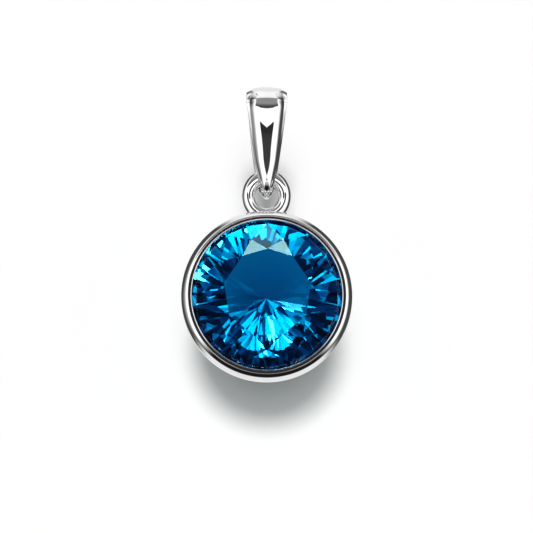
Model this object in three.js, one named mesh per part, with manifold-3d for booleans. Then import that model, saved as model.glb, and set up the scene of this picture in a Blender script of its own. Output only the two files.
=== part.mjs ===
// Pendant: a round brilliant stone in a rolled bezel, hung by a fixed ring from a folded bail.
// Millimetres. +Z up, the stone faces -Y, X to the right. The origin is the inside top of the bail,
// where a chain rests. The setting hangs with the plane of its ring in Y = 0.
import * as THREE from "three";
import { mergeVertices } from "three/addons/utils/BufferGeometryUtils.js";
import Module from "manifold-3d";

const wasm = await Module();
wasm.setup();

// ---- driving dimensions ----
const GAP = 0.02; // between pieces that touch
const HINGE_Z = -5.52; // centre of the ring's top wire, about which the bail swings

// Connector ring: a round hole in an oval outline, made of round wire thickened at the top.
const HOLE_R = 0.77;
const WIRE_R = 0.41;
const RING_HALF_WIDTH = 1.59;
const RING_HALF_HEIGHT = 1.76;
const RING_RISE = 0.05; // centre of the outline above the centre of the hole
const RING_Z = HINGE_Z - WIRE_R - HOLE_R;

// Setting.
const STONE_R = 5.0;
const OPENING_R = 4.8; // inside the lip
const BEZEL_R = 5.53;
const BEZEL_Z = -13.31;
const SETTING_Y = -0.24; // how far the setting stands forward of its ring, which balances it
const LIP_Y = -1.52;
const WALL_R = 5.05; // inside of the cup at the girdle
const BACK_Y = 3.5;
const BACK_OPENING_R = 4.15;

// Stone, heights measured along Y from the girdle.
const GIRDLE_Y = -1.13; // front edge of the girdle
const GIRDLE_T = 0.15;
const TABLE_R = 2.82;
const STAR_R = 3.6;
const CROWN_R = 4.6; // outer end of the crown facets
const CROWN_H = 1.5;
const CROWN_SLOPE = Math.tan(THREE.MathUtils.degToRad(34));
const PAVILION_SLOPE = Math.tan(THREE.MathUtils.degToRad(40));
const PAVILION_TIP_R = 1.15; // where the lower girdle facets meet the mains
// Corners of the nine-sided table, degrees counter-clockwise from +X as seen from the front.
const TABLE_CORNERS = [90, 124, 167, 211, 251, 289, 329, 373, 416];

const SILVER = { color: 0xd9dadd, roughness: 0.08, metalness: 1.0 };
const SOLDER = { color: 0xc9cacd, roughness: 0.18, metalness: 1.0 };
const STONE = { color: 0x0a7fc4, roughness: 0.02, metalness: 0.0 };

// ---- helpers ----
const part = new THREE.Group();
part.name = "pendant";

function add(name, geometry, look) {
  const mesh = new THREE.Mesh(geometry, new THREE.MeshStandardMaterial(look));
  mesh.name = name;
  part.add(mesh);
}

function toManifold(geometry) {
  const bare = geometry.clone();
  bare.deleteAttribute("normal");
  bare.deleteAttribute("uv");
  const merged = mergeVertices(bare, 1e-5);
  const mesh = new wasm.Mesh({
    numProp: 3,
    vertProperties: new Float32Array(merged.attributes.position.array),
    triVerts: new Uint32Array(merged.index.array),
  });
  return new wasm.Manifold(mesh);
}

function toGeometry(solid) {
  const mesh = solid.getMesh();
  const geometry = new THREE.BufferGeometry();
  geometry.setAttribute("position", new THREE.BufferAttribute(new Float32Array(mesh.vertProperties), 3));
  geometry.setIndex(new THREE.BufferAttribute(new Uint32Array(mesh.triVerts), 1));
  geometry.computeVertexNormals();
  return geometry;
}

// Closed surface over a grid of points: rows and columns both wrap round.
function wrapGrid(rows) {
  const across = rows[0].length;
  const positions = rows.flat().flatMap((p) => [p.x, p.y, p.z]);
  const index = [];
  rows.forEach((_, i) => {
    const next = (i + 1) % rows.length;
    for (let j = 0; j < across; j += 1) {
      const k = (j + 1) % across;
      index.push(i * across + j, next * across + j, next * across + k);
      index.push(i * across + j, next * across + k, i * across + k);
    }
  });
  const geometry = new THREE.BufferGeometry();
  geometry.setAttribute("position", new THREE.Float32BufferAttribute(positions, 3));
  geometry.setIndex(index);
  geometry.computeVertexNormals();
  return geometry;
}

// Body of revolution about the axis of the setting from a closed profile of [radius, y].
function turned(profile, segments) {
  const points = [...profile, profile[0]].map(([r, y]) => new THREE.Vector2(r, y));
  const geometry = new THREE.LatheGeometry(points, segments);
  geometry.translate(0, SETTING_Y, BEZEL_Z);
  return geometry;
}

// ---- bezel cup ----
const RIM_STEPS = 7;
const RIM_START = THREE.MathUtils.degToRad(8);
const RIM_INNER_R = 4.98;
const RIM_BACK_Y = -0.6;
const RIM_DEPTH = 0.9;

// Convex rim from the groove beside the lip out to the widest part of the cup.
function rimCurve(grow = 0) {
  return Array.from({ length: RIM_STEPS + 1 }, (_, i) => {
    const a = RIM_START + ((Math.PI / 2 - RIM_START) * i) / RIM_STEPS;
    const r = RIM_INNER_R + (BEZEL_R - RIM_INNER_R + grow) * Math.sin(a);
    const y = RIM_BACK_Y - (RIM_DEPTH + grow) * Math.cos(a);
    return [r, y];
  });
}

function wallCurve(grow = 0) {
  return [
    [BEZEL_R + grow, 0.5],
    [5.44 + grow, 1.3],
    [5.22 + grow, 2.2],
    [4.98 + grow, 3.0],
    [4.88 + grow, 3.32],
    [4.76 + grow, 3.46 + grow],
    [4.66 + grow, BACK_Y + grow],
  ];
}

const cupProfile = [
  [OPENING_R, -1.33],
  [OPENING_R, -1.42],
  [4.86, LIP_Y + 0.02],
  [4.91, LIP_Y],
  [4.97, LIP_Y + 0.02],
  [5.01, LIP_Y + 0.07],
  ...rimCurve(),
  ...wallCurve(),
  [BACK_OPENING_R + 0.08, BACK_Y],
  [BACK_OPENING_R, BACK_Y - 0.08],
  [BACK_OPENING_R, 3.22],
  [4.5, 2.95],
  [4.78, 2.1],
  [4.94, 1.2],
  [4.94, 0.3],
  [WALL_R, 0.3],
  [WALL_R, GIRDLE_Y - 0.03],
];
const CUP_SEGMENTS = 80;
add("bezel_cup", turned(cupProfile, CUP_SEGMENTS), SILVER);

// Solid outline of the setting, slightly enlarged, which the ring and its solder are fitted against.
const outline = toManifold(
  turned(
    [[0, -1], ...rimCurve(GAP).filter(([, y]) => y > -1), ...wallCurve(GAP), [0, BACK_Y + GAP]],
    CUP_SEGMENTS,
  ),
);

// ---- bearing ring ----
const BEARING_R = 4.45;
const bearingSlopeY = GIRDLE_Y + GIRDLE_T + 0.06;
add(
  "bearing_ring",
  turned(
    [
      [WALL_R - GAP, bearingSlopeY],
      [BEARING_R, bearingSlopeY + (STONE_R - BEARING_R) * PAVILION_SLOPE],
      [BEARING_R, 0.2],
      [BEARING_R + 0.08, 0.28],
      [WALL_R - GAP, 0.28],
    ].reverse(),
    CUP_SEGMENTS,
  ),
  SILVER,
);

// ---- connector ring ----
const RING_STEPS = 56;
const WIRE_STEPS = 18;

// The wire's section is a half circle toward the hole and a half ellipse outward.
function ringSolid(grow = 0) {
  const rows = Array.from({ length: RING_STEPS }, (_, i) => {
    const a = (2 * Math.PI * i) / RING_STEPS;
    const oval = 1 / Math.hypot(Math.sin(a) / RING_HALF_WIDTH, Math.cos(a) / RING_HALF_HEIGHT);
    const outward = oval + RING_RISE * Math.cos(a) - HOLE_R - WIRE_R + grow;
    return Array.from({ length: WIRE_STEPS }, (_, j) => {
      const b = (2 * Math.PI * j) / WIRE_STEPS;
      const reach = Math.cos(b) * (Math.cos(b) > 0 ? outward : WIRE_R + grow);
      const r = HOLE_R + WIRE_R + reach;
      return new THREE.Vector3(r * Math.sin(a), (WIRE_R + grow) * Math.sin(b), RING_Z + r * Math.cos(a));
    });
  });
  return toManifold(wrapGrid(rows));
}

add("connector_ring", toGeometry(ringSolid().subtract(outline)), SILVER);

// ---- solder fillets ----
const SOLDER_X = 1.24;
const SOLDER_Z = -7.88;
const SOLDER_HALF = new THREE.Vector3(0.27, 0.36, 0.24);
const fittedTo = ringSolid(GAP).add(outline);

function solder(name, side) {
  const bead = new THREE.SphereGeometry(1, 20, 14);
  bead.scale(SOLDER_HALF.x, SOLDER_HALF.y, SOLDER_HALF.z);
  bead.translate(side * SOLDER_X, 0, SOLDER_Z);
  const pieces = toManifold(bead).subtract(fittedTo).decompose();
  pieces.sort((p, q) => q.volume() - p.volume());
  add(name, toGeometry(pieces[0]), SOLDER);
}

solder("ring_solder_left", -1);
solder("ring_solder_right", 1);

// ---- gemstone ----
// A point of the stone: radius and angle in the plane of the girdle, height toward the front.
function stonePoint(r, degrees, height) {
  const a = THREE.MathUtils.degToRad(degrees);
  return new THREE.Vector3(r * Math.cos(a), SETTING_Y + GIRDLE_Y - height, BEZEL_Z + r * Math.sin(a));
}

// Heights of the planes that hold the crown mains and the pavilion mains.
function crownHeight(r, offset) {
  return CROWN_H - CROWN_SLOPE * (r * Math.cos(THREE.MathUtils.degToRad(offset)) - TABLE_R);
}

function pavilionHeight(r, offset) {
  return -GIRDLE_T - PAVILION_SLOPE * (STONE_R - r * Math.cos(THREE.MathUtils.degToRad(offset)));
}

function gemstone() {
  const triangles = [];
  const tri = (...points) => triangles.push(...points);
  const quad = (p, q, r, s) => {
    tri(p, q, r);
    tri(p, r, s);
  };
  const tableCentre = stonePoint(0, 0, CROWN_H);
  const culet = stonePoint(0, 0, pavilionHeight(0, 0));
  const rimHeight = crownHeight(CROWN_R, 0);
  const ends = [...TABLE_CORNERS.slice(1), TABLE_CORNERS[0] + 360];
  // Pavilion mains lie under the middles of the table's sides, and the lower girdle facets end between them.
  const mains = TABLE_CORNERS.map((from, i) => (from + ends[i]) / 2);
  const tips = mains.map((main, i) => {
    const half = ((i + 1 < mains.length ? mains[i + 1] : mains[0] + 360) - main) / 2;
    return stonePoint(PAVILION_TIP_R, main + half, pavilionHeight(PAVILION_TIP_R, half));
  });
  TABLE_CORNERS.forEach((from, i) => {
    const to = ends[i];
    const mid = mains[i];
    const half = mid - from;
    const table = [from, to].map((a) => stonePoint(TABLE_R, a, CROWN_H));
    const star = stonePoint(STAR_R, mid, crownHeight(STAR_R, half));
    const edge = [from, mid, to].map((a) => stonePoint(CROWN_R, a, rimHeight));
    tri(tableCentre, table[0], table[1]);
    tri(table[0], star, table[1]);
    tri(table[0], edge[0], star);
    tri(table[1], star, edge[2]);
    tri(edge[0], edge[1], star);
    tri(edge[1], edge[2], star);

    // Narrow band down to the girdle, the girdle, then the pavilion.
    const tipsBeside = [tips.at(i - 1), tips[i]];
    [0, 1].forEach((k) => {
      const start = from + k * half;
      const angles = [start, start + half / 2, start + half];
      const front = angles.map((a) => stonePoint(STONE_R, a, 0));
      const back = angles.map((a) => stonePoint(STONE_R, a, -GIRDLE_T));
      tri(edge[k], front[0], front[1]);
      tri(edge[k], front[1], edge[k + 1]);
      tri(edge[k + 1], front[1], front[2]);
      quad(front[0], back[0], back[1], front[1]);
      quad(front[1], back[1], back[2], front[2]);
      tri(back[0], tipsBeside[k], back[1]);
      tri(back[1], tipsBeside[k], back[2]);
    });
    const main = stonePoint(STONE_R, mid, -GIRDLE_T);
    tri(main, tipsBeside[0], culet);
    tri(main, culet, tipsBeside[1]);
  });
  const geometry = new THREE.BufferGeometry().setFromPoints(triangles);
  const solid = mergeVertices(geometry, 1e-5);
  solid.computeVertexNormals();
  return solid;
}

add("gemstone", gemstone(), STONE);

// ---- bail ----
// Stations round the loop in the YZ plane, from the crease above the front face over the top, down the back
// leaf, under the ring's wire and up the front leaf to the crease again. `out` and `in` are points of the
// outer and inner surfaces, `half` the half width, `face` the half width of the polished face inside its
// bevel, `crown` how far the face falls away to its edge, `bevel` how far the bevel falls outside it and
// `round` how far the inner side falls away.
const BAIL = [
  { out: [-1.46, -0.38], in: [-0.9, -0.66], half: 1.33, face: 1.14, crown: 0.44, bevel: 0.08, round: 0.04 },
  { out: [-0.86, 0.38], in: [-0.62, -0.16], half: 1.33, face: 1.04, crown: 0.15, bevel: 0.16, round: 0.04 },
  { out: [0, 0.62], in: [0, 0], half: 1.3, face: 0.96, crown: 0.14, bevel: 0.2, round: 0.04 },
  { out: [0.86, 0.36], in: [0.62, -0.16], half: 1.28, face: 0.98, crown: 0.13, bevel: 0.16, round: 0.04 },
  { out: [1.4, -0.42], in: [1.05, -0.62], half: 1.22, face: 0.94, crown: 0.12, bevel: 0.14, round: 0.04 },
  { out: [1.62, -1.3], in: [1.2, -1.35], half: 1.14, face: 0.88, crown: 0.12, bevel: 0.12, round: 0.04 },
  { out: [1.64, -2.3], in: [1.19, -2.3], half: 1.06, face: 0.82, crown: 0.12, bevel: 0.12, round: 0.05 },
  { out: [1.54, -3.45], in: [1.07, -3.4], half: 0.95, face: 0.72, crown: 0.13, bevel: 0.12, round: 0.06 },
  { out: [1.4, -4.6], in: [0.88, -4.5], half: 0.8, face: 0.6, crown: 0.14, bevel: 0.12, round: 0.1 },
  { out: [1.25, -5.6], in: [0.67, -5.45], half: 0.62, face: 0.44, crown: 0.16, bevel: 0.12, round: 0.18 },
  { out: [0.95, -6.3], in: [0.46, -5.83], half: 0.5, face: 0.32, crown: 0.18, bevel: 0.14, round: 0.26 },
  { out: [0, -6.86], in: [0, -5.97], half: 0.38, face: 0.22, crown: 0.16, bevel: 0.16, round: 0.34 },
  { out: [-0.72, -6.72], in: [-0.28, -5.94], half: 0.38, face: 0.24, crown: 0.2, bevel: 0.14, round: 0.32 },
  { out: [-1.14, -6.26], in: [-0.52, -5.8], half: 0.43, face: 0.31, crown: 0.26, bevel: 0.12, round: 0.26 },
  { out: [-1.32, -5.6], in: [-0.67, -5.45], half: 0.59, face: 0.47, crown: 0.34, bevel: 0.1, round: 0.16 },
  { out: [-1.5, -4.6], in: [-0.84, -4.5], half: 0.8, face: 0.7, crown: 0.42, bevel: 0.1, round: 0.08 },
  { out: [-1.66, -3.45], in: [-0.94, -3.4], half: 0.96, face: 0.86, crown: 0.48, bevel: 0.1, round: 0.05 },
  { out: [-1.74, -2.3], in: [-0.98, -2.3], half: 1.11, face: 0.98, crown: 0.5, bevel: 0.1, round: 0.04 },
  { out: [-1.7, -1.4], in: [-0.96, -1.46], half: 1.21, face: 1.07, crown: 0.5, bevel: 0.1, round: 0.04 },
  { out: [-1.62, -0.8], in: [-0.94, -0.98], half: 1.28, face: 1.12, crown: 0.48, bevel: 0.09, round: 0.04 },
];
const BAIL_STEPS = 4; // between stations
const FACE_STEPS = 10;
const BOW_SHARE = 0.55; // share of the crown that is an even bow; the rest rolls over close to the edges
const SIDE_SHARE = 0.45; // length of the straight side, as a share of the thickness left for it

// One section of the loop as points, outer face first, then round the right side, the inside and the left.
function bailSection(outer, inner, { half, face, crown, bevel, round }) {
  const across = outer.clone().sub(inner);
  const thick = across.length();
  across.normalize();
  const at = (x, v) => inner.clone().addScaledVector(across, v).setX(x);
  const side = thick - crown - bevel;
  const flank = side - (side - round) * SIDE_SHARE;
  const front = Array.from({ length: FACE_STEPS + 1 }, (_, i) => {
    const s = (2 * i) / FACE_STEPS - 1;
    return at(s * face, thick - crown * (BOW_SHARE * s ** 2 + (1 - BOW_SHARE) * s ** 6));
  });
  return [
    ...front,
    at(half, side),
    at(half, flank),
    at(half * 0.86, round * 0.74),
    at(half * 0.5, round * 0.25),
    at(0, 0),
    at(-half * 0.5, round * 0.25),
    at(-half * 0.86, round * 0.74),
    at(-half, flank),
    at(-half, side),
  ];
}

function bail() {
  const closed = [...BAIL, BAIL[0]];
  const curve = (pick) => new THREE.CatmullRomCurve3(closed.map(pick), false, "centripetal");
  const outer = curve((s) => new THREE.Vector3(0, ...s.out));
  const inner = curve((s) => new THREE.Vector3(0, ...s.in));
  const widths = curve((s) => new THREE.Vector3(s.half, s.face, 0));
  const drops = curve((s) => new THREE.Vector3(s.crown, s.bevel, s.round));
  const count = BAIL.length * BAIL_STEPS;
  const rows = Array.from({ length: count }, (_, i) => {
    const t = i / count;
    const width = widths.getPoint(t);
    const drop = drops.getPoint(t);
    const section = { half: width.x, face: width.y, crown: drop.x, bevel: drop.y, round: drop.z };
    return bailSection(outer.getPoint(t), inner.getPoint(t), section);
  });
  return wrapGrid(rows.reverse());
}

add("bail", bail(), SILVER);

export default part;
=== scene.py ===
"""Looks for the pendant.

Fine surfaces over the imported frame, polished silver, a blue faceted stone and a white studio.
"""

import math

import bpy
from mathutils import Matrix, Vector


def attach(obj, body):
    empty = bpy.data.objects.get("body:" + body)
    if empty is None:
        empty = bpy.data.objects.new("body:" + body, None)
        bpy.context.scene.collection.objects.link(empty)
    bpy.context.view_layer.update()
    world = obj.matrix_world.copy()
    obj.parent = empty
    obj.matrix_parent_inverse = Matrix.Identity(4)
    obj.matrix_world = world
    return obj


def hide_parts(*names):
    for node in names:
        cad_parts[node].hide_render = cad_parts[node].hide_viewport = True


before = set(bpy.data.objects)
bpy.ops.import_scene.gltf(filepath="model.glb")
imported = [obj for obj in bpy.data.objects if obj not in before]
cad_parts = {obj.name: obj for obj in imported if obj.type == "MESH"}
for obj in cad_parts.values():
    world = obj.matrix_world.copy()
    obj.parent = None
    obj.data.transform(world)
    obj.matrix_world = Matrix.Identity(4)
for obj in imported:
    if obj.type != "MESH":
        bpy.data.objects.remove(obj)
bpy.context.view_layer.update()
MM = 0.001

# ---- sizes, in millimetres, the same as the CAD part's ----
HINGE_Z = -5.52
HOLE_R = 0.77
WIRE_R = 0.41
RING_HALF_WIDTH = 1.59
RING_HALF_HEIGHT = 1.76
RING_RISE = 0.05
RING_Z = HINGE_Z - WIRE_R - HOLE_R
STONE_R = 5.0
OPENING_R = 4.8
BEZEL_R = 5.53
BEZEL_Z = -13.31
SETTING_Y = -0.24
LIP_Y = -1.52
WALL_R = 5.05
RIM_R = 4.98
RIM_DEPTH = 0.9
RIM_BACK_Y = -0.6
GROOVE_Y = RIM_BACK_Y - RIM_DEPTH + 0.01
BACK_Y = 3.5
BACK_OPENING_R = 4.15
SHELF_Y = 0.3
CAVITY_R = 4.94
BEARING_R = 4.45
BEARING_BACK_Y = 0.28
CHAMFER = 0.08
FIT_GAP = 0.02
GIRDLE_Y = -1.13
GIRDLE_T = 0.15
TABLE_R = 2.82
STAR_R = 3.6
CROWN_R = 4.6
CROWN_H = 1.5
CROWN_SLOPE = math.tan(math.radians(34))
PAVILION_SLOPE = math.tan(math.radians(40))
PAVILION_TIP_R = 1.15
TABLE_CORNERS = [90, 124, 167, 211, 251, 289, 329, 373, 416]

EDGE_R = 0.03  # how far the fine edges are rounded


# ---- mesh helpers ----
def new_piece(name, verts, faces, body, replaced, material, smooth=True):
    mesh = bpy.data.meshes.new(name)
    mesh.from_pydata([tuple(c * MM for c in v) for v in verts], [], faces)
    mesh.validate()
    mesh.update()
    for polygon in mesh.polygons:
        polygon.use_smooth = smooth
    piece = bpy.data.objects.new(name, mesh)
    bpy.context.scene.collection.objects.link(piece)
    mesh.materials.append(material)
    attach(piece, body)
    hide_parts(*replaced)


def wrapped_faces(rows, across, closed=True):
    """Quads of a grid whose columns wrap round, and whose rows do too where it is closed."""
    return [
        (
            i * across + j,
            ((i + 1) % rows) * across + j,
            ((i + 1) % rows) * across + (j + 1) % across,
            i * across + (j + 1) % across,
        )
        for i in range(rows if closed else rows - 1)
        for j in range(across)
    ]


def rounded(points, steps=3):
    """A closed polygon with its marked corners rounded: points are (a, b, share of EDGE_R)."""
    out = []
    count = len(points)
    for i, (a, b, share) in enumerate(points):
        here = Vector((a, b))
        if share == 0:
            out.append(here)
            continue
        before = Vector(points[i - 1][:2]) - here
        after = Vector(points[(i + 1) % count][:2]) - here
        reach = min(EDGE_R * share, before.length * 0.45, after.length * 0.45)
        start, end = here + before.normalized() * reach, here + after.normalized() * reach
        for k in range(steps + 1):
            t = k / steps
            out.append(start * (1 - t) ** 2 + here * 2 * t * (1 - t) + end * t * t)
    return out


def turned(profile, segments):
    """A closed profile of (radius, y) turned about the axis of the setting."""
    verts = [
        (r * math.cos(a), SETTING_Y + y, BEZEL_Z + r * math.sin(a))
        for a in (2 * math.pi * i / segments for i in range(segments))
        for r, y in profile
    ]
    return verts, wrapped_faces(segments, len(profile))


def catmull_rom(points, t):
    """Centripetal curve through points at t from 0 to 1, extended straight past its ends."""
    last = len(points) - 1
    place = t * last
    i = min(int(place), last - 1)
    w = place - i
    p1, p2 = points[i], points[i + 1]
    p0 = points[i - 1] if i > 0 else p1 + (p1 - p2)
    p3 = points[i + 2] if i + 2 <= last else p2 + (p2 - p1)
    d0 = max((p1 - p0).length ** 0.5, 1e-4)
    d1 = max((p2 - p1).length ** 0.5, 1e-4)
    d2 = max((p3 - p2).length ** 0.5, 1e-4)
    t1 = ((p1 - p0) / d0 - (p2 - p0) / (d0 + d1) + (p2 - p1) / d1) * d1
    t2 = ((p2 - p1) / d1 - (p3 - p1) / (d1 + d2) + (p3 - p2) / d2) * d1
    return (
        p1
        + t1 * w
        + (p1 * -3 + p2 * 3 - t1 * 2 - t2) * w**2
        + (p1 * 2 - p2 * 2 + t1 + t2) * w**3
    )


# ---- materials ----
class Nodes:
    """A short way to write a node tree."""

    def __init__(self, tree):
        self.tree = tree
        tree.nodes.clear()

    def add(self, kind, **settings):
        node = self.tree.nodes.new(kind)
        for key, value in settings.items():
            setattr(node, key, value)
        return node

    def put(self, socket, value):
        if isinstance(value, bpy.types.NodeSocket):
            self.tree.links.new(value, socket)
        else:
            socket.default_value = value

    def math(self, operation, *values):
        node = self.add("ShaderNodeMath", operation=operation)
        for socket, value in zip(node.inputs, values):
            self.put(socket, value)
        return node.outputs[0]

    def ramp(self, value, low, high, to_low=0.0, to_high=1.0):
        node = self.add("ShaderNodeMapRange", interpolation_type="SMOOTHSTEP")
        for socket, put in zip(node.inputs, (value, low, high, to_low, to_high)):
            self.put(socket, put)
        return node.outputs[0]

    def noise(self, vector, scale, detail=3.0, rough=0.5):
        node = self.add("ShaderNodeTexNoise")
        self.put(node.inputs["Vector"], vector)
        node.inputs["Scale"].default_value = scale
        node.inputs["Detail"].default_value = detail
        node.inputs["Roughness"].default_value = rough
        return node.outputs["Fac"]

    def blend(self, share, color, other):
        """One colour passing into another as the share goes from 0 to 1."""
        node = self.add("ShaderNodeMix", data_type="RGBA")
        self.put(node.inputs["Factor"], share)
        node.inputs["A"].default_value = (*color, 1)
        node.inputs["B"].default_value = (*other, 1)
        return node.outputs["Result"]

    def mixed_color(self, channels):
        node = self.add("ShaderNodeCombineColor")
        for socket, value in zip(node.inputs, channels):
            self.put(socket, value)
        return node.outputs[0]


def new_material(name):
    material = bpy.data.materials.new(name)
    material.use_nodes = True
    return material, Nodes(material.node_tree)


def metal(name, color, shade, rough, wear, pits):
    """Polished metal: a faint mottle in its colour, finely varied roughness and shallow polishing marks."""
    material, n = new_material(name)
    where = n.add("ShaderNodeTexCoord").outputs["Object"]
    shader = n.add("ShaderNodeBsdfPrincipled")
    out = n.add("ShaderNodeOutputMaterial")
    mottle = n.noise(where, 420.0, 4.0, 0.6)
    n.put(shader.inputs["Base Color"], n.blend(n.ramp(mottle, 0.35, 0.7), color, shade))
    shader.inputs["Metallic"].default_value = 1.0
    fine = n.noise(where, 2600.0, 3.0, 0.6)
    n.put(shader.inputs["Roughness"], n.ramp(fine, 0.3, 0.75, *rough))
    stretch = n.add("ShaderNodeMapping")
    n.put(stretch.inputs["Vector"], where)
    stretch.inputs["Scale"].default_value = (1.0, 1.0, 0.12)
    marks = n.noise(stretch.outputs["Vector"], 9000.0, 2.0, 0.5)
    height = n.math("ADD", n.math("MULTIPLY", marks, wear), n.math("MULTIPLY", mottle, pits))
    bump = n.add("ShaderNodeBump")
    bump.inputs["Strength"].default_value = 1.0
    bump.inputs["Distance"].default_value = 1e-6
    n.put(bump.inputs["Height"], height)
    n.put(shader.inputs["Normal"], bump.outputs["Normal"])
    n.put(out.inputs["Surface"], shader.outputs["BSDF"])
    return material


def stone():
    """Clear blue crystal: the blue comes from absorption with depth, so thin edges stay pale."""
    material, n = new_material("blue_crystal")
    where = n.add("ShaderNodeTexCoord").outputs["Object"]
    shader = n.add("ShaderNodeBsdfPrincipled")
    out = n.add("ShaderNodeOutputMaterial")
    cloud = n.ramp(n.noise(where, 260.0, 2.0, 0.5), 0.3, 0.7)
    n.put(shader.inputs["Base Color"], n.blend(cloud, (0.93, 0.98, 1.0), (0.86, 0.96, 1.0)))
    shader.inputs["Roughness"].default_value = 0.0
    shader.inputs["IOR"].default_value = 1.5
    shader.inputs["Transmission Weight"].default_value = 1.0
    depth = n.add("ShaderNodeVolumeAbsorption")
    depth.inputs["Color"].default_value = (0.4, 0.75, 0.85, 1)
    depth.inputs["Density"].default_value = 1000.0
    n.put(out.inputs["Surface"], shader.outputs["BSDF"])
    n.put(out.inputs["Volume"], depth.outputs["Volume"])
    return material


silver = metal(
    "polished_silver_metal", (0.95, 0.95, 0.955), (0.9, 0.9, 0.91), (0.02, 0.05), wear=0.25, pits=0.6
)
cast_silver = metal(
    "cast_silver_metal", (0.86, 0.86, 0.87), (0.74, 0.74, 0.76), (0.14, 0.3), wear=1.5, pits=3.0
)
solder_metal = metal(
    "solder_metal", (0.84, 0.84, 0.85), (0.68, 0.68, 0.7), (0.08, 0.22), wear=0.8, pits=2.5
)
crystal = stone()


# ---- bezel cup ----
CUP_SEGMENTS = 288
BEARING_SEGMENTS = 192
CURVE_STEPS = 30


def rim_curve(steps):
    """The rolled rim in profile, from beside the groove out to the wall, as (radius, y)."""
    start = math.radians(8)
    for i in range(steps + 1):
        a = start + (math.pi / 2 - start) * i / steps
        yield RIM_R + (BEZEL_R - RIM_R) * math.sin(a), RIM_BACK_Y - RIM_DEPTH * math.cos(a)


def wall_radius(y):
    """Outside radius of the front of the cup, at y from the cup's own zero plane."""
    share = min(1.0, max(0.0, (RIM_BACK_Y - y) / RIM_DEPTH))
    return RIM_R + (BEZEL_R - RIM_R) * math.sqrt(1 - share * share)


back_points = [
    Vector(p)
    for p in ((BEZEL_R, RIM_BACK_Y), (BEZEL_R, 0.5), (5.44, 1.3), (5.22, 2.2), (4.98, 3.0), (4.88, 3.32))
]
back_curve = [catmull_rom(back_points, i / CURVE_STEPS) for i in range(1, CURVE_STEPS + 1)]
cup_profile = rounded(
    [
        # the lip over the stone, and the shallow flat groove round it
        (OPENING_R, -1.33, 0.4),
        (OPENING_R, -1.46, 1),
        (4.84, LIP_Y, 1),
        (4.88, GROOVE_Y, 0.3),
        (4.9, GROOVE_Y, 0),
        (5.04, GROOVE_Y, 0),
        # the rolled rim and the outside, which tapers to the back
        *[(r, y, 1 if k == 0 else 0) for k, (r, y) in enumerate(rim_curve(CURVE_STEPS))],
        *[(p[0], p[1], 0) for p in back_curve],
        # the flat back edge and its opening
        (4.76, 3.46, 0),
        (4.66, BACK_Y, 0),
        (BACK_OPENING_R + CHAMFER, BACK_Y, 1.5),
        (BACK_OPENING_R, BACK_Y - CHAMFER, 1.5),
        (BACK_OPENING_R, 3.22, 1),
        # the cavity, the shelf behind the bearing ring and the wall round the girdle
        (4.5, 2.95, 1),
        (4.78, 2.1, 2),
        (CAVITY_R, 1.2, 2),
        (CAVITY_R, SHELF_Y, 0.5),
        (WALL_R, SHELF_Y, 0.5),
        (WALL_R, GIRDLE_Y - 0.03, 0.5),
    ]
)
verts, faces = turned([tuple(p) for p in cup_profile], CUP_SEGMENTS)
new_piece("bezel_cup_polished", verts, faces, "drop", ["bezel_cup"], silver)

bearing_y = GIRDLE_Y + GIRDLE_T + 0.06
bearing_profile = rounded(
    [
        (WALL_R - FIT_GAP, BEARING_BACK_Y, 0.5),
        (BEARING_R + CHAMFER, BEARING_BACK_Y, 1),
        (BEARING_R, 0.2, 1),
        (BEARING_R, bearing_y + (STONE_R - BEARING_R) * PAVILION_SLOPE, 1),
        (WALL_R - FIT_GAP, bearing_y, 0.5),
    ]
)
verts, faces = turned([tuple(p) for p in bearing_profile], BEARING_SEGMENTS)
new_piece("bearing_ring_turned", verts, faces, "drop", ["bearing_ring"], cast_silver)


# ---- connector ring, standing on the cup's wall ----
RING_STEPS = 240
WIRE_STEPS = 64
SEAT_DEPTH = 0.01


def ring_point(a, b):
    """A point of the ring at angle a round it from the top, and b round its wire from outside."""
    oval = 1 / math.hypot(math.sin(a) / RING_HALF_WIDTH, math.cos(a) / RING_HALF_HEIGHT)
    outward = oval + RING_RISE * math.cos(a) - HOLE_R - WIRE_R
    reach = math.cos(b) * (outward if math.cos(b) > 0 else WIRE_R)
    r = HOLE_R + WIRE_R + reach
    return Vector((r * math.sin(a), WIRE_R * math.sin(b), RING_Z + r * math.cos(a)))


def seated(p):
    """A point kept from going further into the cup's wall than the ring's seat."""
    r = math.hypot(p.x, p.z - BEZEL_Z)
    limit = wall_radius(p.y - SETTING_Y) - SEAT_DEPTH
    if r >= limit:
        return p
    return Vector((p.x * limit / r, p.y, BEZEL_Z + (p.z - BEZEL_Z) * limit / r))


verts = [
    seated(ring_point(2 * math.pi * i / RING_STEPS, 2 * math.pi * j / WIRE_STEPS))
    for i in range(RING_STEPS)
    for j in range(WIRE_STEPS)
]
new_piece(
    "connector_ring_polished",
    verts,
    wrapped_faces(RING_STEPS, WIRE_STEPS),
    "drop",
    ["connector_ring"],
    silver,
)


# ---- solder ----
SOLDER_STEPS = 44
SOLDER_HALF_ANGLE = 112
SOLDER_SIZE = 0.15
SOLDER_THIN = 0.012
SOLDER_ROOT = 0.03
FILLET_STEPS = 6
HALVINGS = 40


def contact_angle(b, side):
    """Angle round the ring at which the line of wire at b meets the cup's wall, on one side."""
    low, high = math.radians(60), math.radians(180)
    for _ in range(HALVINGS):
        mid = (low + high) / 2
        p = ring_point(mid, b)
        if math.hypot(p.x, p.z - BEZEL_Z) > wall_radius(p.y - SETTING_Y):
            low = mid
        else:
            high = mid
    return side * low


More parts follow.
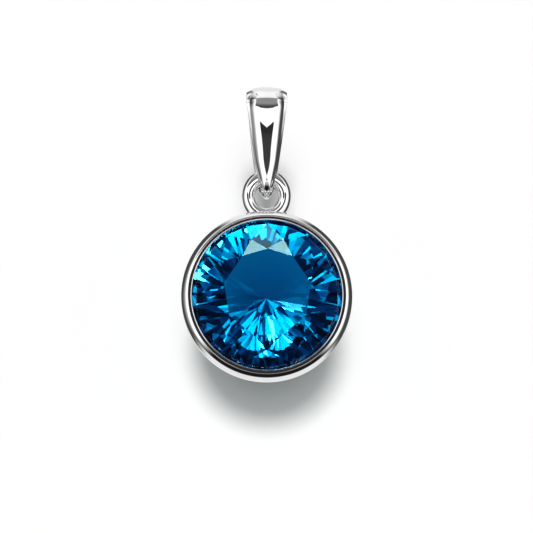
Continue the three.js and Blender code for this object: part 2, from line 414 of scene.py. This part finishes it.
def solder(name, side):
    """A concave fillet round the outer side of one leg, from the front of the wire to its back."""
    points = []
    for k in range(SOLDER_STEPS + 1):
        b = math.radians(-SOLDER_HALF_ANGLE + 2 * SOLDER_HALF_ANGLE * k / SOLDER_STEPS)
        a = contact_angle(b, side)
        size = SOLDER_SIZE * (1 - abs(2 * k / SOLDER_STEPS - 1) ** 6) + SOLDER_THIN
        foot = ring_point(a, b)
        up = ring_point(a - side * size / 1.5, b)
        toward = Vector((foot.x, 0, foot.z - BEZEL_Z)).normalized()
        spread = Vector((foot.x - ring_point(a, b + math.pi).x, foot.y * 1.2, 0))
        spread -= toward * spread.dot(toward)
        out = foot + spread.normalized() * size
        reach = wall_radius(out.y - SETTING_Y)
        flat = Vector((out.x, 0, out.z - BEZEL_Z)).normalized() * reach
        out = Vector((flat.x, out.y, BEZEL_Z + flat.z))
        hollow = foot.lerp(up.lerp(out, 0.5), 0.35)
        for t in (i / FILLET_STEPS for i in range(FILLET_STEPS + 1)):
            points.append(up * (1 - t) ** 2 + hollow * 2 * t * (1 - t) + out * t * t)
        points.append(foot - toward * SOLDER_ROOT - spread.normalized() * SOLDER_ROOT)
    across = FILLET_STEPS + 2
    quads = wrapped_faces(SOLDER_STEPS + 1, across, closed=False)
    quads += [tuple(range(across)), tuple(SOLDER_STEPS * across + j for j in reversed(range(across)))]
    if side > 0:
        quads = [tuple(reversed(q)) for q in quads]
    new_piece(f"{name}_fillet", points, quads, "drop", [name], solder_metal)


solder("ring_solder_left", -1)
solder("ring_solder_right", 1)


# ---- stone ----
def stone_point(r, degrees, height):
    """A point at a radius and angle round the stone's axis, and a height forward of the girdle."""
    a = math.radians(degrees)
    return (r * math.cos(a), SETTING_Y + GIRDLE_Y - height, BEZEL_Z + r * math.sin(a))


def crown_height(r, offset):
    return CROWN_H - CROWN_SLOPE * (r * math.cos(math.radians(offset)) - TABLE_R)


def pavilion_height(r, offset):
    return -GIRDLE_T - PAVILION_SLOPE * (STONE_R - r * math.cos(math.radians(offset)))


stone_faces = [[stone_point(TABLE_R, a, CROWN_H) for a in TABLE_CORNERS]]
culet = stone_point(0, 0, pavilion_height(0, 0))
rim_height = crown_height(CROWN_R, 0)
corners = TABLE_CORNERS + [TABLE_CORNERS[0] + 360]
mains = [(start + end) / 2 for start, end in zip(corners, corners[1:])]
tips = []
for main, after in zip(mains, mains[1:] + [mains[0] + 360]):
    half = (after - main) / 2
    tips.append(stone_point(PAVILION_TIP_R, main + half, pavilion_height(PAVILION_TIP_R, half)))
for i, (start, end) in enumerate(zip(corners, corners[1:])):
    before = corners[i - 1] if i > 0 else corners[-2] - 360
    mid = mains[i]
    half = (end - start) / 2
    star = stone_point(STAR_R, mid, crown_height(STAR_R, half))
    star_before = stone_point(STAR_R, (before + start) / 2, crown_height(STAR_R, (start - before) / 2))
    edge = [stone_point(CROWN_R, a, rim_height) for a in (start, mid, end)]
    corner = stone_point(TABLE_R, start, CROWN_H)
    stone_faces.append([corner, star, stone_point(TABLE_R, end, CROWN_H)])
    stone_faces.append([corner, star_before, edge[0], star])
    stone_faces.append([star, edge[0], edge[1]])
    stone_faces.append([star, edge[1], edge[2]])
    for k in (0, 1):
        first = start + k * half
        angles = [first, first + half / 2, first + half]
        front = [stone_point(STONE_R, a, 0) for a in angles]
        back = [stone_point(STONE_R, a, -GIRDLE_T) for a in angles]
        stone_faces.append([edge[k], front[0], front[1]])
        stone_faces.append([edge[k], front[1], edge[k + 1]])
        stone_faces.append([edge[k + 1], front[1], front[2]])
        stone_faces.append([front[0], back[0], back[1], front[1]])
        stone_faces.append([front[1], back[1], back[2], front[2]])
        tip = tips[i] if k == 1 else tips[i - 1]
        stone_faces.append([back[0], tip, back[1]])
        stone_faces.append([back[1], tip, back[2]])
    stone_faces.append([stone_point(STONE_R, mid, -GIRDLE_T), tips[i - 1], culet, tips[i]])

places, verts, faces = {}, [], []
for face in stone_faces:
    loop = []
    for p in face:
        key = tuple(round(c, 5) for c in p)
        if key not in places:
            places[key] = len(verts)
            verts.append(p)
        loop.append(places[key])
    faces.append(tuple(loop))
new_piece("gemstone_cut", verts, faces, "drop", ["gemstone"], crystal, smooth=False)


# ---- bail ----
# The CAD part's stations, eased by hundredths inside the tip so that the ring clears it at every angle:
# outer point, inner point (y, z), half width, face, crown, bevel, round.
BAIL = [
    ((-1.46, -0.38), (-0.9, -0.66), 1.33, 1.14, 0.44, 0.08, 0.04),
    ((-0.86, 0.38), (-0.62, -0.16), 1.33, 1.04, 0.15, 0.16, 0.04),
    ((0, 0.62), (0, 0), 1.3, 0.96, 0.14, 0.2, 0.04),
    ((0.86, 0.36), (0.62, -0.16), 1.28, 0.98, 0.13, 0.16, 0.04),
    ((1.4, -0.42), (1.05, -0.62), 1.22, 0.94, 0.12, 0.14, 0.04),
    ((1.62, -1.3), (1.2, -1.35), 1.14, 0.88, 0.12, 0.12, 0.04),
    ((1.64, -2.3), (1.19, -2.3), 1.06, 0.82, 0.12, 0.12, 0.05),
    ((1.54, -3.45), (1.07, -3.4), 0.95, 0.72, 0.13, 0.12, 0.06),
    ((1.4, -4.6), (0.88, -4.5), 0.8, 0.6, 0.14, 0.12, 0.1),
    ((1.25, -5.6), (0.7, -5.46), 0.62, 0.44, 0.16, 0.12, 0.18),
    ((0.95, -6.3), (0.49, -5.85), 0.5, 0.32, 0.18, 0.14, 0.26),
    ((0, -6.86), (0, -5.97), 0.38, 0.22, 0.16, 0.16, 0.34),
    ((-0.72, -6.72), (-0.29, -5.96), 0.38, 0.24, 0.2, 0.14, 0.32),
    ((-1.14, -6.26), (-0.54, -5.82), 0.43, 0.31, 0.26, 0.12, 0.26),
    ((-1.32, -5.6), (-0.67, -5.45), 0.59, 0.47, 0.34, 0.1, 0.16),
    ((-1.5, -4.6), (-0.84, -4.5), 0.8, 0.7, 0.42, 0.1, 0.08),
    ((-1.66, -3.45), (-0.94, -3.4), 0.96, 0.86, 0.48, 0.1, 0.05),
    ((-1.74, -2.3), (-0.98, -2.3), 1.11, 0.98, 0.5, 0.1, 0.04),
    ((-1.7, -1.4), (-0.96, -1.46), 1.21, 1.07, 0.5, 0.1, 0.04),
    ((-1.62, -0.8), (-0.94, -0.98), 1.28, 1.12, 0.48, 0.09, 0.04),
]
BAIL_STEPS = 14
FACE_STEPS = 20
BOW, BOW_AT_EDGE = 0.55, 0.45
FLANK_SHARE = 0.45
# sections set close to the crease where the roll meets the front leaf, which keep it crisp
CREASE = (0.0006, 0.0014)


def bail_section(outer, inner, half, face, crown, bevel, round_off):
    """The strap's outline at one station: a bowed face, bevelled sides and a rounded inside."""
    across = outer - inner
    thick = across.length
    across.normalize()
    side = thick - crown - bevel
    flank = side - (side - round_off) * FLANK_SHARE
    polygon = []
    for s in (2 * i / FACE_STEPS - 1 for i in range(FACE_STEPS + 1)):
        fall = crown * (BOW * s**2 + BOW_AT_EDGE * s**6)
        polygon.append((s * face, thick - fall, 0.3 if abs(s) == 1 else 0))
    polygon += [
        (half, side, 1.6),
        (half, flank, 1.6),
        (half * 0.86, round_off * 0.74, 2),
        (half * 0.5, round_off * 0.25, 0),
        (0, 0, 0),
        (-half * 0.5, round_off * 0.25, 0),
        (-half * 0.86, round_off * 0.74, 2),
        (-half, flank, 1.6),
        (-half, side, 1.6),
    ]
    return [
        (x, inner[0] + across[0] * up, inner[1] + across[1] * up) for x, up in rounded(polygon)
    ]


closed = BAIL + BAIL[:1]
outers = [Vector(s[0]) for s in closed]
inners = [Vector(s[1]) for s in closed]
widths = [Vector((s[2], s[3], 0)) for s in closed]
drops = [Vector(s[4:7]) for s in closed]
count = len(BAIL) * BAIL_STEPS
times = sorted([*(i / count for i in range(count)), *CREASE, *(1 - t for t in CREASE)])
rows = []
for t in times:
    half, face, _ = catmull_rom(widths, t)
    rows.append(
        bail_section(catmull_rom(outers, t), catmull_rom(inners, t), half, face, *catmull_rom(drops, t))
    )
verts = [p for row in rows for p in row]
new_piece(
    "bail_polished",
    verts,
    [tuple(reversed(q)) for q in wrapped_faces(len(rows), len(rows[0]))],
    "bail",
    ["bail"],
    silver,
)


# ---- studio ----
def sheet(name, size, location, rotation, albedo, one_sided):
    """A plain matt sheet. A one-sided sheet is seen only from its front."""
    bpy.ops.mesh.primitive_plane_add(size=size, location=location, rotation=rotation)
    plane = bpy.context.object
    plane.name = name
    material, n = new_material(name + "_paper")
    where = n.add("ShaderNodeTexCoord").outputs["Object"]
    tone = n.ramp(n.noise(where, 30.0), 0.3, 0.7, albedo * 0.99, albedo)
    matt = n.add("ShaderNodeBsdfDiffuse")
    n.put(matt.inputs["Color"], n.mixed_color((tone, tone, tone)))
    out = n.add("ShaderNodeOutputMaterial")
    surface = matt.outputs["BSDF"]
    if one_sided:
        mix = n.add("ShaderNodeMixShader")
        n.put(mix.inputs[0], n.add("ShaderNodeNewGeometry").outputs["Backfacing"])
        n.put(mix.inputs[1], surface)
        n.put(mix.inputs[2], n.add("ShaderNodeBsdfTransparent").outputs["BSDF"])
        surface = mix.outputs[0]
    n.put(out.inputs["Surface"], surface)
    plane.data.materials.append(material)
    plane.visible_glossy = False
    plane.visible_transmission = False
    plane.visible_shadow = False
    return plane


wall = sheet("backdrop", 2.0, (0, 0.016, -0.01), (math.radians(90), 0, 0), albedo=0.35, one_sided=True)
sheet("floor", 4.0, (0, 0, -0.25), (0, 0, 0), albedo=0.8, one_sided=False)


class Sky(Nodes):
    """A world tree that lays patches of light over one another by direction."""

    def between(self, value, low, high, soft):
        """One from low to high and nothing outside them, with soft ends."""
        up = self.ramp(value, low - soft, low + soft)
        down = self.ramp(value, high - soft, high + soft, 1.0, 0.0)
        return self.math("MULTIPLY", up, down)

    def over(self, level, value, *masks):
        """The level with value laid over it where all the masks are."""
        share = masks[0]
        for m in masks[1:]:
            share = self.math("MULTIPLY", share, m)
        keep = self.math("MULTIPLY", level, self.math("SUBTRACT", 1.0, share))
        return self.math("ADD", keep, self.math("MULTIPLY", share, value))

    def degrees(self, operation, *values):
        return self.math("MULTIPLY", self.math(operation, *values), 180 / math.pi)

    def backdrop(self, strength, color):
        light = self.add("ShaderNodeBackground")
        self.put(light.inputs["Color"], self.mixed_color(color))
        self.put(light.inputs["Strength"], strength)
        return light.outputs[0]

    def either(self, first, second, share):
        mix = self.add("ShaderNodeMixShader")
        for socket, value in zip(mix.inputs, (share, first, second)):
            self.put(socket, value)
        return mix.outputs[0]


def studio():
    """White boxes left, right and above, a dark front and floor, and a paler room behind."""
    world = bpy.data.worlds.new("studio")
    bpy.context.scene.world = world
    world.use_nodes = True
    n = Sky(world.node_tree)
    sight = n.add("ShaderNodeTexCoord").outputs["Generated"]
    axes = n.add("ShaderNodeSeparateXYZ")
    n.put(axes.inputs[0], sight)
    x, y, z = axes.outputs
    front = n.math("MULTIPLY", y, -1.0)
    az = n.degrees("ARCTAN2", x, front)
    turn = n.math("ABSOLUTE", az)
    rise = n.degrees("ARCSINE", z)
    away = n.degrees("ARCCOSINE", front)
    lift = n.degrees("ARCTAN2", z, n.math("ABSOLUTE", x))

    # what the metal mirrors: a dark oval straight ahead with white round it, the paler room
    # behind, and a dark floor
    edge = n.ramp(lift, 36, 58, 31, 50)
    inside = n.ramp(n.math("SUBTRACT", away, edge), -3, 3, 0.04, 1.2)
    behind = n.ramp(x, -1.0, -0.85, 0.32, 0.06)
    behind = n.over(behind, 0.85, n.ramp(lift, 58, 72))
    behind = n.over(behind, 0.9, n.ramp(away, 158, 168))
    level = n.over(inside, behind, n.ramp(away, 64, 96))
    below = n.ramp(away, 94, 104, 0.01, 0.85)
    level = n.over(level, below, n.ramp(lift, -46, -22, 1.0, 0.0))

    # a dark patch straight ahead that widens upward, with white beside it and soft grey below
    reach = n.math("ADD", n.ramp(rise, -16, -6, -2, 24), n.ramp(rise, -5, 12, 0, 8))
    dusk = n.ramp(rise, 0, 6, 0.045, 0.025)
    veined = n.ramp(n.math("SUBTRACT", turn, reach), -1.5, 1.5, dusk, 1.2)
    level = n.over(level, veined, n.between(rise, -15, 14, 1), n.ramp(turn, 50, 70, 1.0, 0.0))
    soft_grey = n.ramp(rise, -34, -16, 0.15, 0.5)
    level = n.over(level, soft_grey, n.between(turn, -40, 30, 3), n.between(rise, -34, -15, 2))

    # a bright box over the patch, whose lower edge comes down to a point in the middle, and a
    # dim band above it
    notch = n.math("SUBTRACT", rise, n.math("MULTIPLY", turn, 0.2))
    box = (n.between(turn, -40, 31, 1), n.ramp(notch, 8.5, 9.8), n.ramp(rise, 24, 26, 1.0, 0.0))
    level = n.over(level, 1.3, *box)
    band = n.ramp(rise, 26, 44, 0.05, 0.28)
    level = n.over(level, band, n.between(turn, -60, 56, 5), n.between(rise, 26, 68, 2))

    # what the stone's facets mirror
    glint = n.over(0.03, 14.0, n.between(turn, -40, 28, 2), n.between(rise, 42, 57, 2))
    glint = n.over(glint, 2.5, n.between(turn, -40, 50, 4), n.between(rise, 60, 100, 2))

    # what shows through the stone: a pale room behind, and in front a soft glow above
    # with broken bright patches
    through = n.ramp(rise, -14, 14, 0.35, 5.0)
    bits = n.noise(sight, 11.0, 2.0, 0.6)
    through = n.math("MULTIPLY", through, n.ramp(bits, 0.49, 0.62, 0.16, 1.8))
    through = n.over(through, 12.0, n.between(az, -18, 4, 3), n.between(rise, 4, 13, 2))
    through = n.over(through, 80.0, n.between(az, -17, -9, 1), n.between(rise, 4, 11, 1))
    red = n.ramp(through, 15, 60, 0.0, 6.0)
    green = n.ramp(through, 0.3, 4.5, 0.7, 1.6)
    room = n.ramp(y, -0.3, 0.1)
    through = n.over(through, 0.47, room)
    red = n.over(red, 0.0, room)
    green = n.over(green, 0.5, room)

    path = n.add("ShaderNodeLightPath").outputs
    level = n.over(level, 1.0, path["Is Camera Ray"])
    look = n.backdrop(level, (1.0, 1.0, 1.0))
    look = n.either(look, n.backdrop(glint, (0.5, 1.0, 1.0)), path["Is Singular Ray"])
    look = n.either(look, n.backdrop(through, (red, green, 1.0)), path["Is Transmission Ray"])
    out = n.add("ShaderNodeOutputWorld")
    n.put(out.inputs["Surface"], look)


studio()

# Two lamps light only the backdrop: one throws the pendant's shadow down it, one softens it.
LAMP_SIDE = 0.025
lit = bpy.data.collections.new("lit_by_backdrop_lamps")
lit.objects.link(wall)
for name, angle, energy, fall in (("backdrop_key", 8.0, 4.9, 0.155), ("backdrop_fill", 16.0, 2.3, 0.07)):
    lamp_data = bpy.data.lights.new(name, "SUN")
    lamp_data.angle = math.radians(angle)
    lamp_data.energy = energy
    lamp = bpy.data.objects.new(name, lamp_data)
    bpy.context.scene.collection.objects.link(lamp)
    lamp.rotation_euler = Vector((LAMP_SIDE, 1, -fall)).to_track_quat("-Z", "Y").to_euler()
    lamp.light_linking.receiver_collection = lit

# ---- camera ----
LENS = 100.0
VIEW_WIDTH = 0.0348
AZIMUTH, ELEVATION = -1.3, -7.0
target = Vector((0, 0, -0.0113))
az, el = math.radians(AZIMUTH), math.radians(ELEVATION)
toward = Vector((math.sin(az) * math.cos(el), -math.cos(az) * math.cos(el), math.sin(el)))
camera_data = bpy.data.cameras.new("camera")
camera_data.lens = LENS
camera_data.clip_start = 0.001
camera_data.clip_end = 10.0
camera = bpy.data.objects.new("camera", camera_data)
bpy.context.scene.collection.objects.link(camera)
camera.location = target + toward * (VIEW_WIDTH * LENS / camera_data.sensor_width)
camera.rotation_euler = (target - camera.location).to_track_quat("-Z", "Y").to_euler()
bpy.context.scene.camera = camera

scene = bpy.context.scene
scene.view_settings.view_transform = "Standard"
scene.cycles.max_bounces = 24
scene.cycles.glossy_bounces = 20
scene.cycles.transmission_bounces = 20
scene.cycles.use_denoising = True
